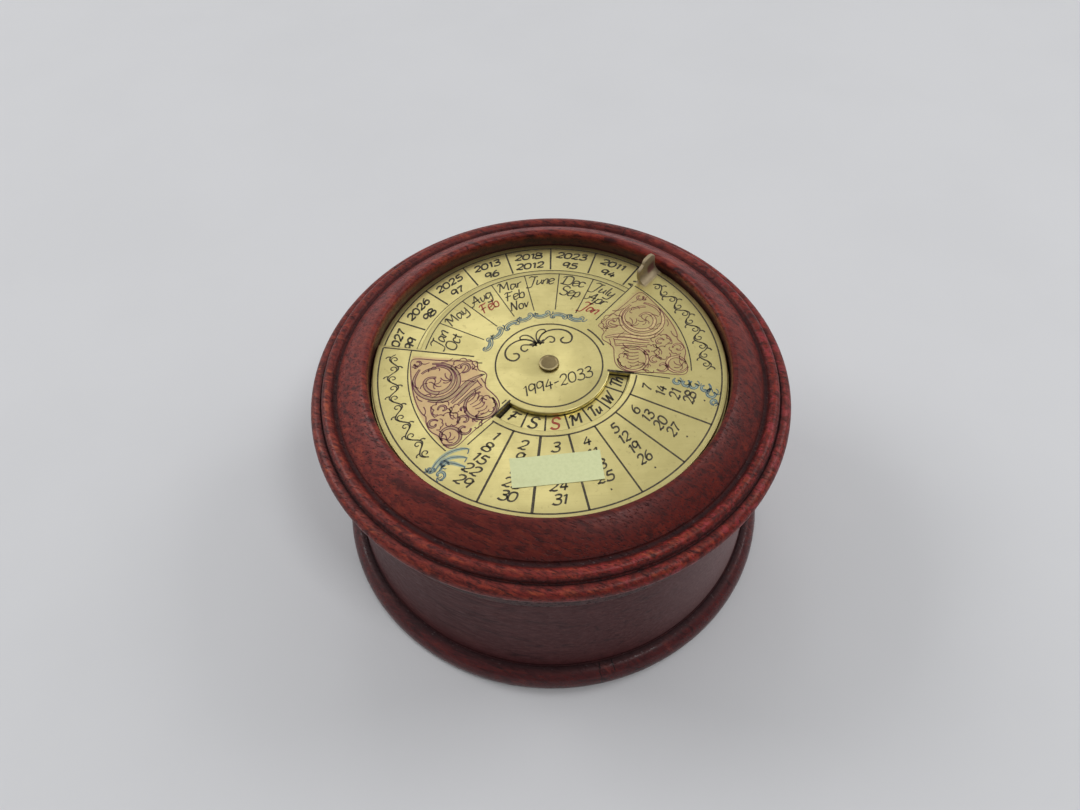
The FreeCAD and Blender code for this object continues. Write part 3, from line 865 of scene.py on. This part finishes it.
def slab():
    """The flat plate with its window and notch cut out, its top arrises rolled over."""
    bm = bmesh.new()
    radii = (PLATE_BORE, 7, WINDOW_R[0], WINDOW_R[1], 22, NOTCH_R, 31.5, PLATE_R)
    row = [bm.verts.new((r, 0, DIAL_TOP - PLATE_T)) for r in radii]
    for a, b in zip(row, row[1:]):
        bm.edges.new((a, b))
    bmesh.ops.spin(bm, geom=bm.verts[:] + bm.edges[:], cent=(0, 0, 0), axis=(0, 0, 1),
                   angle=2 * math.pi, steps=AROUND, use_merge=True)
    cut = []
    for face in bm.faces:
        middle = face.calc_center_median()
        radius = math.hypot(middle.x, middle.y)
        angle = math.degrees(math.atan2(middle.y, middle.x))
        in_window = between(angle, WINDOW) and WINDOW_R[0] < radius < WINDOW_R[1]
        if in_window or between(angle, NOTCH) and radius > NOTCH_R:
            cut.append(face)
    bmesh.ops.delete(bm, geom=cut, context="FACES")
    top = bmesh.ops.extrude_face_region(bm, geom=bm.faces[:])
    lifted = [v for v in top["geom"] if isinstance(v, bmesh.types.BMVert)]
    bmesh.ops.translate(bm, vec=(0, 0, PLATE_T), verts=lifted)
    bmesh.ops.recalc_face_normals(bm, faces=bm.faces[:])
    rim = [e for e in bm.edges if e.calc_face_angle(0.0) > SHARP
           and min(v.co.z for v in e.verts) > DIAL_TOP - 0.01]
    bmesh.ops.bevel(bm, geom=rim, offset=EDGE_ROUND, segments=4, profile=0.5,
                    affect="EDGES", material=-1)
    return bm


def add_tab(bm):
    """The tongue, bent up out of the plate along the notch's right end."""
    before = set(bm.verts)
    heel = DIAL_TOP + TAB_BEND
    roots = [bm.verts.new((x, -PLATE_T, heel)) for x in (TAB_OUTLINE[-1][0], TAB_OUTLINE[0][0])]
    corners = [bm.verts.new((x, -PLATE_T, DIAL_TOP + z)) for x, z, _ in TAB_OUTLINE]
    bm.faces.new(roots + corners)
    for corner, (_, _, size) in zip(corners, TAB_OUTLINE):
        bmesh.ops.bevel(bm, geom=[corner], offset=size, segments=9, profile=0.5,
                        affect="VERTICES", material=-1)
    root = next(e for e in bm.edges if e.is_boundary
                and all(v not in before and abs(v.co.z - heel) < 0.001 for v in e.verts))
    bmesh.ops.spin(bm, geom=[root, *root.verts], cent=(0, -PLATE_T - TAB_BEND, heel),
                   axis=(1, 0, 0), angle=-math.pi / 2, steps=8)
    skin = list({f for v in bm.verts if v not in before for f in v.link_faces})
    bmesh.ops.recalc_face_normals(bm, faces=skin)
    inward = sum(f.normal.z for f in skin) > 0
    bmesh.ops.solidify(bm, geom=skin, thickness=PLATE_T if inward else -PLATE_T)
    made = [v for v in bm.verts if v not in before]
    faces = list({f for v in made for f in v.link_faces})
    bmesh.ops.recalc_face_normals(bm, faces=faces)
    rim = list({e for f in faces for e in f.edges if e.calc_face_angle(0.0) > SHARP})
    bmesh.ops.bevel(bm, geom=rim, offset=TAB_ROUND, segments=3, profile=0.5,
                    affect="EDGES", material=-1)
    made = [v for v in bm.verts if v not in before]
    bmesh.ops.rotate(bm, cent=(0, 0, 0), matrix=Matrix.Rotation(math.radians(NOTCH[0]), 3, "Z"),
                     verts=made)


calendar = slab()
add_tab(calendar)


def month_marks(f, tone, rough, x, y, z):
    """The printed panels have a pinkish ground, fingers have dulled the tab, and a painted reflection of
    the red wood lies as a dark pink patch on the tab.
    """
    for middle, strength in ((PLUM_MIDDLE, 0.85), (RUST_MIDDLE, 0.4)):
        out, aside = f.along(x, y, middle)
        ground = f.fade(out, 12.8 * MM, 14.5 * MM) * f.fade(abs(aside) - out * 0.5, 0, -0.9 * MM)
        ground = ground * f.fade((x * x + y * y) ** 0.5, 28.4 * MM, 27.8 * MM)
        tone = f.blend(ground * strength, tone, paint(194, 162, 122))
    out, aside = f.along(x, y, NOTCH[0])
    fingered = f.fade(aside, -3.1 * MM, -2.3 * MM) * f.fade(out, 29.2 * MM, 30.2 * MM)
    tone = f.blend(fingered * 0.85, tone, paint(160, 144, 124))
    height = z - DIAL_TOP * MM
    # Painted reflection of the red wood: a dark pink patch on the tab's face.
    bowl = f.fade(abs(out - 34.2 * MM), 1.6 * MM, 0.8 * MM)
    bowl = bowl * f.fade(height, 3.1 * MM, 2.0 * MM) * f.fade(height, 0.5 * MM, 1.0 * MM)
    tone = f.blend(bowl * 0.75, tone, paint(134, 78, 82))
    return tone, rough + fingered * 0.3


month_brass = brass("month_brass", *DIAL_BRASS, month_marks)
piece("calendar_plate", calendar, month_brass, "dial", ["month_plate"], corner=35)


# Print on the month plate
# Ruled lines and pen lettering in dark ink, red for leap months, and traditional scrolled
# foliage in plum, rust and blue.
MONTH_COLUMNS = (("July", "Apr", "Jan"), ("Dec", "Sep"), ("June",), ("Mar", "Feb", "Nov"),
                 ("Aug", "Feb"), ("May",), ("Jan", "Oct"))
LEAP_MONTHS = ((0, 2), (4, 1))      # column and row of the months that are red
MONTH_TOP_R = 24.0
MONTH_ROW = 3.1
DATE_TOP_R = 20.4
DATE_ROW = 2.85
DATES = 31
DATE_LINES = (0.42, 0.55, 0.45, 0.36, 0.36, 0.36)
BORDER_R = 34.75
PANEL_R = 28.7
MONTH_LINE_R = 25.9
DATE_LINE_R = 17.85
HUB_LINE_R = 10.9
LINKS = 7
LINK_FIRST = 64.5       # angle of the first link of the blue chain
LINK_STEP = 15.2

lines = new_ink()
arc(lines, HUB_LINE_R, 0, 360, 0.34)
arc(lines, DATE_LINE_R, 231, 348.5, 0.34)
arc(lines, BORDER_R, 170.9, 408, 0.32)
arc(lines, PANEL_R, 170.9, 226, 0.26)
arc(lines, PANEL_R, -5.5, 48.2, 0.26)
arc(lines, MONTH_LINE_R, *NOTCH, 0.24)
arc(lines, 12.3, 22, 48, 0.38)
straight(lines, 170.7, 15.5, BORDER_R, 0.32)
straight(lines, 49.0, 15.4, PANEL_R, 0.26)
for angle, width in ((229.0, 0.42), (350.0, 0.52)):
    straight(lines, angle, 11.9, 17.3, width)
draw(lines, [polar(18.0, 232.1), polar(25.0, 230.6)], [0.26, 0.26], smooth=1)
draw(lines, [polar(13.5, 350.4), polar(24.5, 349.3)], [0.24, 0.24], smooth=1)
for dash in ((177, 13.6, 15.0), (190, 13.2, 14.3), (226, 12.4, 13.6)):
    straight(lines, *dash, 0.26)
for column, width in enumerate(DATE_LINES):
    straight(lines, NOTCH[0] + PITCH * (column + 1), 15.1, MONTH_LINE_R, 0.24)
    straight(lines, WINDOW[0] + PITCH * (column + 1), DATE_LINE_R, BORDER_R, width)
leap = new_ink()
for column, months in enumerate(MONTH_COLUMNS):
    middle = NOTCH[0] + PITCH * (column + 0.5)
    for row, month in enumerate(months):
        ink = leap if (column, row) in LEAP_MONTHS else lines
        write(ink, month, 2.5, polar(MONTH_TOP_R - MONTH_ROW * row, middle), middle,
              thick=0.42, thin=0.17, tight=1.2 - 0.12 * row if len(month) < 4 else 1.1)
for date in range(1, DATES + 1):
    column, row = (date - 1) % 7, (date - 1) // 7
    middle = WINDOW[0] + PITCH * (column + 0.5) + (0.4 if column else 1.4)
    write(lines, str(date), 2.0, polar(DATE_TOP_R + DATE_ROW * row, middle), middle + 180,
          thick=0.50, thin=0.2, tight=1.35 if column < 4 else 1.15)
for column in range(3, 7):
    place = polar(31.8, WINDOW[0] + PITCH * (column + 0.5))
    draw(lines, [place, place + Vector((0.3, 0.1))], [0.42, 0.3], smooth=1)
write(lines, "1994-2033", 2.5, polar(4.9, 291), 109.6, thick=0.4, thin=0.16, tight=1.1)


class Leafwork:
    """Pen leafwork of the traditional scrolled kind. Its spots are (x, y) in millimetres from
    an origin on the dial, with x along a bearing and y to its left, or right if mirrored."""

    def __init__(self, ink, wash, origin, bearing, hand=1, thick=0.3):
        self.ink = ink
        self.wash = wash
        self.origin = origin
        self.ahead = polar(1, bearing)
        self.aside = Vector((-self.ahead.y, self.ahead.x)) * hand
        self.thick = thick

    def spot(self, p):
        return self.origin + self.ahead * p[0] + self.aside * p[1]

    def line(self, points, thick=None, closed=False):
        """A free pen line."""
        thick = thick or self.thick
        places = [self.spot(p) for p in points]
        draw(self.ink, places, pen(places, thick, thick * 0.6), closed=closed)

    def around(self, centre, reach, bearing):
        return Vector(centre) + polar(reach, bearing)

    def stem(self, points, gap):
        """Two lines side by side that draw together at the ends, with a wash between."""
        points = [Vector(p) for p in points]
        last = len(points) - 1
        left, right, body = [], [], []
        for i, p in enumerate(points):
            width = gap * (0.25 + 0.75 * math.sin(math.pi * (i + 0.4) / (last + 0.8)))
            step = (points[min(i + 1, last)] - points[max(i - 1, 0)]).normalized() * (width / 2)
            left.append(p + Vector((-step.y, step.x)))
            right.append(p + Vector((step.y, -step.x)))
            body.append(width)
        self.line(left)
        self.line(right)
        draw(self.wash, [self.spot(p) for p in points], body)

    def scroll(self, centre, reach, start, sweep, last_reach, gap):
        """A stem that winds in to a narrower turn."""
        count = max(5, round(abs(sweep) / 26))
        self.stem([self.around(centre, reach + (last_reach - reach) * i / count, start + sweep * i / count)
                   for i in range(count + 1)], gap)

    def claw(self, root, bearing, length, bend):
        """A stroke that curls over at its tip."""
        points = [Vector(root)]
        for i, share in enumerate((0.34, 0.30, 0.22, 0.16)):
            points.append(points[-1] + polar(length * share, bearing + bend * i / 3))
        self.line(points)

    def leaf(self, root, bearing, length, claws, spread, bend):
        """Several claws from one root, the longest in the middle."""
        for i in range(claws):
            share = i / (claws - 1)
            self.claw(root, bearing + spread * (share - 0.5),
                      length * (0.7 + 0.3 * math.sin(math.pi * share)), bend)

    def frill(self, centre, reach, start, sweep, lobes, depth):
        """A leaf's edge of lobes with sharp notches, round an arc."""
        self.line([self.around(centre, reach + depth * swell, start + sweep * (i + share) / lobes)
                   for i in range(lobes)
                   for share, swell in ((0.02, 0), (0.25, 0.8), (0.6, 1), (0.9, 0.55), (0.99, 0))])


def panel(ink, wash, middle, hand, thick):
    """Scrolled foliage that fills a panel of the dial. Its x runs out along the panel's
    middle."""
    work = Leafwork(ink, wash, Vector((0, 0)), middle, hand, thick)
    stem, scroll, claw, leaf, frill = work.stem, work.scroll, work.claw, work.leaf, work.frill
    work.line([(13.2, -6.0), (14.6, -6.5), (17.8, -7.9), (21.4, -9.5), (24.6, -11.3), (26.0, -11.4),
               (26.6, -9.4), (27.5, -5.5), (28.0, -1.0), (27.7, 2.6), (26.9, 3.6), (27.5, 5.2),
               (27.2, 7.6), (25.8, 9.0), (25.9, 11.0), (24.7, 12.8), (23.0, 12.4), (20.4, 10.8),
               (17.6, 9.4), (15.0, 8.5), (13.0, 7.0), (12.4, 5.0), (13.2, 2.6), (14.0, 1.0),
               (13.4, -0.8), (12.6, -1.8), (12.9, -3.0), (13.9, -3.6), (13.8, -4.8)], closed=True)

    # The great ring with its tail, and the scroll that winds inside it
    scroll((22.6, -4.2), 4.7, -60, 325, 4.6, 0.85)
    stem([(25.6, 0.0), (23.6, 1.3), (21.0, 1.0), (18.6, -0.5), (16.2, -2.1), (13.4, -2.3)], 0.9)
    stem([(21.6, -8.0), (19.6, -7.0), (18.8, -4.8), (19.5, -2.5), (21.4, -1.0), (23.6, -1.0),
          (25.2, -2.7), (25.1, -4.8), (23.7, -5.7), (22.4, -5.0)], 0.8)
    leaf((23.3, -3.5), 170, 1.9, 5, 230, 80)
    leaf((19.8, -3.2), -30, 2.6, 4, 110, -70)
    frill((22.4, -6.6), 1.0, 170, 170, 3, 0.35)
    stem([(24.9, -7.0), (23.4, -7.9), (21.8, -7.3)], 0.5)
    claw((26.2, -3.4), 240, 2.2, -90)
    claw((25.9, -1.4), 200, 1.6, -100)
    claw((24.6, -0.4), 190, 2.0, 40)

    # A curl in its leaf by the panel's inner corner, and two pointed leaves side by side
    scroll((16.4, -5.6), 1.5, 60, 300, 0.5, 0.5)
    frill((16.6, -5.6), 2.0, 140, 220, 5, 0.45)
    leaf((14.9, -4.4), 220, 1.4, 3, 110, -70)
    leaf((18.0, -6.4), 120, 1.6, 3, 100, 60)
    claw((20.4, -8.4), 170, 2.6, 40)
    claw((18.2, -4.0), 200, 2.8, 40)
    claw((17.9, -2.2), 170, 2.6, -40)
    stem([(21.4, 2.3), (19.2, 1.1), (17.0, -0.5), (15.0, -1.3)], 0.9)
    stem([(20.2, 3.0), (18.2, 1.9), (16.2, 0.8), (14.4, 0.4)], 0.7)
    claw((14.0, -1.6), 95, 1.8, 20)
    claw((14.9, -1.5), 95, 1.8, 20)

    # The second ring, with feathered leaves in it
    scroll((16.1, 5.1), 3.5, 255, 310, 2.9, 0.6)
    for i in range(6):
        claw((18.4 - 0.3 * i, 3.3 + 0.7 * i), 200 - 8 * i, 3.9 - 0.36 * i, 75)
    frill((15.6, 5.0), 2.0, 100, 190, 5, 0.4)
    leaf((17.9, 6.9), 140, 1.9, 4, 110, 60)
    leaf((15.2, 3.2), 60, 1.5, 3, 90, 50)

    # Leaves between the scrolls
    frill((23.6, 2.9), 1.5, -170, 215, 4, 0.6)
    scroll((23.4, 3.0), 1.0, 0, -300, 0.4, 0.4)
    frill((20.8, 4.6), 1.3, -120, 200, 4, 0.5)
    scroll((19.8, 4.6), 0.8, 90, 320, 0.3, 0.3)
    frill((22.6, 6.0), 1.3, 20, 220, 4, 0.5)
    leaf((22.2, 4.4), 60, 2.0, 5, 320, 80)
    scroll((20.3, 7.1), 1.3, 20, -330, 0.4, 0.45)
    leaf((18.6, 7.4), 100, 1.3, 3, 90, 60)
    claw((25.4, 1.6), 70, 3.0, 50)
    claw((26.8, 1.2), 100, 2.2, -60)
    claw((25.4, 4.4), 200, 2.0, -80)

    # The ring at the panel's foot, and the curls round the edge
    scroll((24.0, 9.7), 2.3, 40, 340, 1.8, 0.6)
    leaf((24.8, 10.4), 205, 2.1, 5, 200, 80)
    scroll((26.2, 5.9), 1.2, 200, 330, 0.5, 0.45)
    frill((26.0, 5.9), 1.5, 90, 120, 3, 0.3)
    scroll((21.0, 9.2), 1.4, 170, -320, 0.5, 0.5)
    frill((18.4, 8.6), 1.0, 60, 150, 3, 0.35)
    claw((16.6, 8.4), 10, 1.7, 60)
    claw((25.6, 7.8), 130, 1.8, -90)
    claw((27.2, -5.6), 85, 2.2, 70)
    claw((27.4, -2.0), 90, 2.0, 60)
    scroll((24.9, -10.0), 0.9, 0, 300, 0.4, 0.35)
    leaf((25.8, -8.8), 230, 1.4, 3, 90, 80)
    claw((22.6, -9.3), 10, 1.7, -60)


plum = new_ink()
plum_wash = new_ink()
panel(plum, plum_wash, PLUM_MIDDLE, 1, 0.26)
rust = new_ink()
rust_wash = new_ink()
panel(rust, rust_wash, RUST_MIDDLE, -1, 0.22)

# A chain of C and S scrolls in blue runs between the months and the hub, and plumes and
# curls of it fill the ends of the date rows
blue = new_ink()
blue_wash = new_ink()
for i in range(LINKS):
    angle = LINK_FIRST + LINK_STEP * i
    flip = -1 if i % 3 == 1 else 1
    link = Leafwork(blue, blue_wash, polar(13.5 + 0.2 * flip, angle), angle - 84, flip, 0.26)
    link.line([(-0.8, 0.25), (-1.2, 0.75), (-1.9, 0.45), (-1.8, -0.4), (-0.8, -0.95), (0.6, -0.9),
               (1.7, -0.3), (1.8, 0.65), (1.1, 0.95), (0.7, 0.35)])
    link.stem([(-1.5, 0.1), (-0.7, -0.35), (0.6, -0.3), (1.4, 0.3)], 0.55)
    link.claw((1.6, -0.5), 20, 1.3, 70 * flip)
    link.claw((-1.5, 0.2), 60, 0.9, -110)
for i in range(3):
    plume = [polar(34.1 - 0.7 * i, 228.4 + 0.9 * i), polar(32.0 - 0.6 * i, 226.8 + 1.2 * i),
             polar(28.4 + 0.7 * i, 227.2 + 2.1 * i), polar(25.9 + 1.7 * i, 230.6 + 2.3 * i),
             polar(25.5 + 1.8 * i, 233.0 + 1.9 * i), polar(26.6 + 1.8 * i, 233.6 + 1.4 * i)]
    draw(blue, plume, pen(plume, 0.3, 0.14))
    draw(blue_wash, plume[:5], [0.3, 0.8, 0.9, 0.7, 0.2])
for r, angle, size, start, hand in (
        (33.2, 231.4, 1.1, 40, 1), (33.5, 227.6, 0.8, 200, -1), (31.0, 229.6, 0.9, 120, 1),
        (26.0, 348.0, 0.9, 120, 1), (27.6, 347.6, 1.0, 300, -1), (29.4, 347.2, 1.1, 120, 1),
        (31.5, 346.9, 1.3, 300, -1), (33.1, 344.6, 1.3, 100, 1), (33.8, 341.4, 0.8, 80, -1)):
    sprig = Leafwork(blue, blue_wash, polar(r, angle), angle, hand, 0.24)
    sprig.scroll((0, 0), size, start, 320, size * 0.35, 0.45)
    sprig.leaf((size * 0.7, 0), 70, size * 1.3, 3, 100, 90)

# A light running scroll fills the outer band of each panel, and a flourish the middle
BAND_R = 31.7
WAVES = 11
for first, last, hand in ((173.5, 223.5, 1), (-4.5, 43, -1)):
    step = (last - first) / WAVES
    for i in range(WAVES):
        side = 1 if i % 2 else -1
        wave = Leafwork(lines, None, polar(BAND_R, first + step * (i + 0.5)),
                        first + step * (i + 0.5) + 90, side, 0.34)
        wave.line([(-1.25, 0), (-0.7, 0.75), (0, 1.15), (0.7, 0.75), (1.25, 0)])
        wave.line([(0.95, 0.4), (0.35, 0.85), (-0.35, 0.55), (-0.5, -0.15), (0.0, -0.6), (0.5, -0.3),
                   (0.35, 0.1)], 0.28)
        wave.claw((-0.5, 0.9), 100, 1.2, -90 * hand)
for side in (1, -1):
    flourish = Leafwork(lines, None, polar(6.1, 112), 22 if side > 0 else 202, side, 0.46)
    flourish.line([(0, -0.1), (1.3, 2.0), (4.1, 2.4), (6.7, 1.2), (7.6, -1.0), (6.4, -2.7),
                   (4.7, -2.1), (4.7, -0.8), (5.7, -0.7)])
    flourish.line([(0.3, -0.6), (1.8, 0.3), (3.2, 0.9), (3.9, -0.3), (3.1, -1.3), (2.4, -0.7)], 0.4)
    flourish.line([(0.2, 0.3), (0.3, 1.9), (1.5, 3.3), (2.9, 3.0), (2.8, 2.0), (2.0, 2.0)], 0.36)
    flourish.leaf((0.3, -0.3), 40, 1.5, 3, 70, -40)
for name, ink, colour, rise in (
        ("month_print", lines, paint(52, 44, 32), INK_T),
        ("leap_print", leap, RED_INK, INK_T),
        ("plum_wash", plum_wash, paint(178, 150, 112), WASH_T),
        ("rust_wash", rust_wash, paint(206, 180, 126), WASH_T),
        ("blue_wash", blue_wash, paint(160, 174, 150), WASH_T),
        ("plum_scrolls", plum, paint(106, 50, 66), INK_T),
        ("rust_scrolls", rust, paint(122, 74, 62), INK_T),
        ("blue_scrolls", blue, paint(84, 108, 118), INK_T)):
    printed(name, ink, DIAL_TOP, colour, "dial", rise)


# blank_label
# A small label of pale green paper, stuck across the dates, its corners just lifting.
LABEL_SIZE = (17.1, 6.45)
LABEL_T = 0.1
LABEL_CENTRE = (0.9, -25.3)
LABEL_TURN = math.radians(5)
LABEL_LIFT = 0.16


def label_paper():
    f = Finish("label_paper")
    pulp = f.noise(f.place, 0.6, detail=5, rough=0.7)
    soil = f.noise(f.place, 5, detail=3)
    tone = f.blend(f.fade(pulp, 0.35, 0.7) * 0.5, paint(212, 217, 167), paint(196, 203, 150))
    tone = f.blend(f.fade(soil, 0.5, 0.7) * 0.4, tone, paint(190, 190, 140))
    return f.surface(tone, 0.7, Normal=f.bump(pulp, 0.02))


label = bmesh.new()
bmesh.ops.create_grid(label, x_segments=24, y_segments=10, size=0.5)
bmesh.ops.scale(label, vec=(LABEL_SIZE[0], LABEL_SIZE[1], 1), verts=label.verts[:])
for v in label.verts:
    corner = abs(v.co.x) / LABEL_SIZE[0] * abs(v.co.y) / LABEL_SIZE[1] * 4
    v.co.z = LABEL_LIFT * corner ** 5
raised = bmesh.ops.extrude_face_region(label, geom=label.faces[:])
bmesh.ops.translate(label, vec=(0, 0, LABEL_T),
                    verts=[v for v in raised["geom"] if isinstance(v, bmesh.types.BMVert)])
bmesh.ops.recalc_face_normals(label, faces=label.faces[:])
bmesh.ops.rotate(label, cent=(0, 0, 0), matrix=Matrix.Rotation(LABEL_TURN, 3, "Z"), verts=label.verts[:])
bmesh.ops.translate(label, vec=(*LABEL_CENTRE, DIAL_TOP), verts=label.verts[:])
piece("label", label, label_paper(), "dial", ["blank_label"])
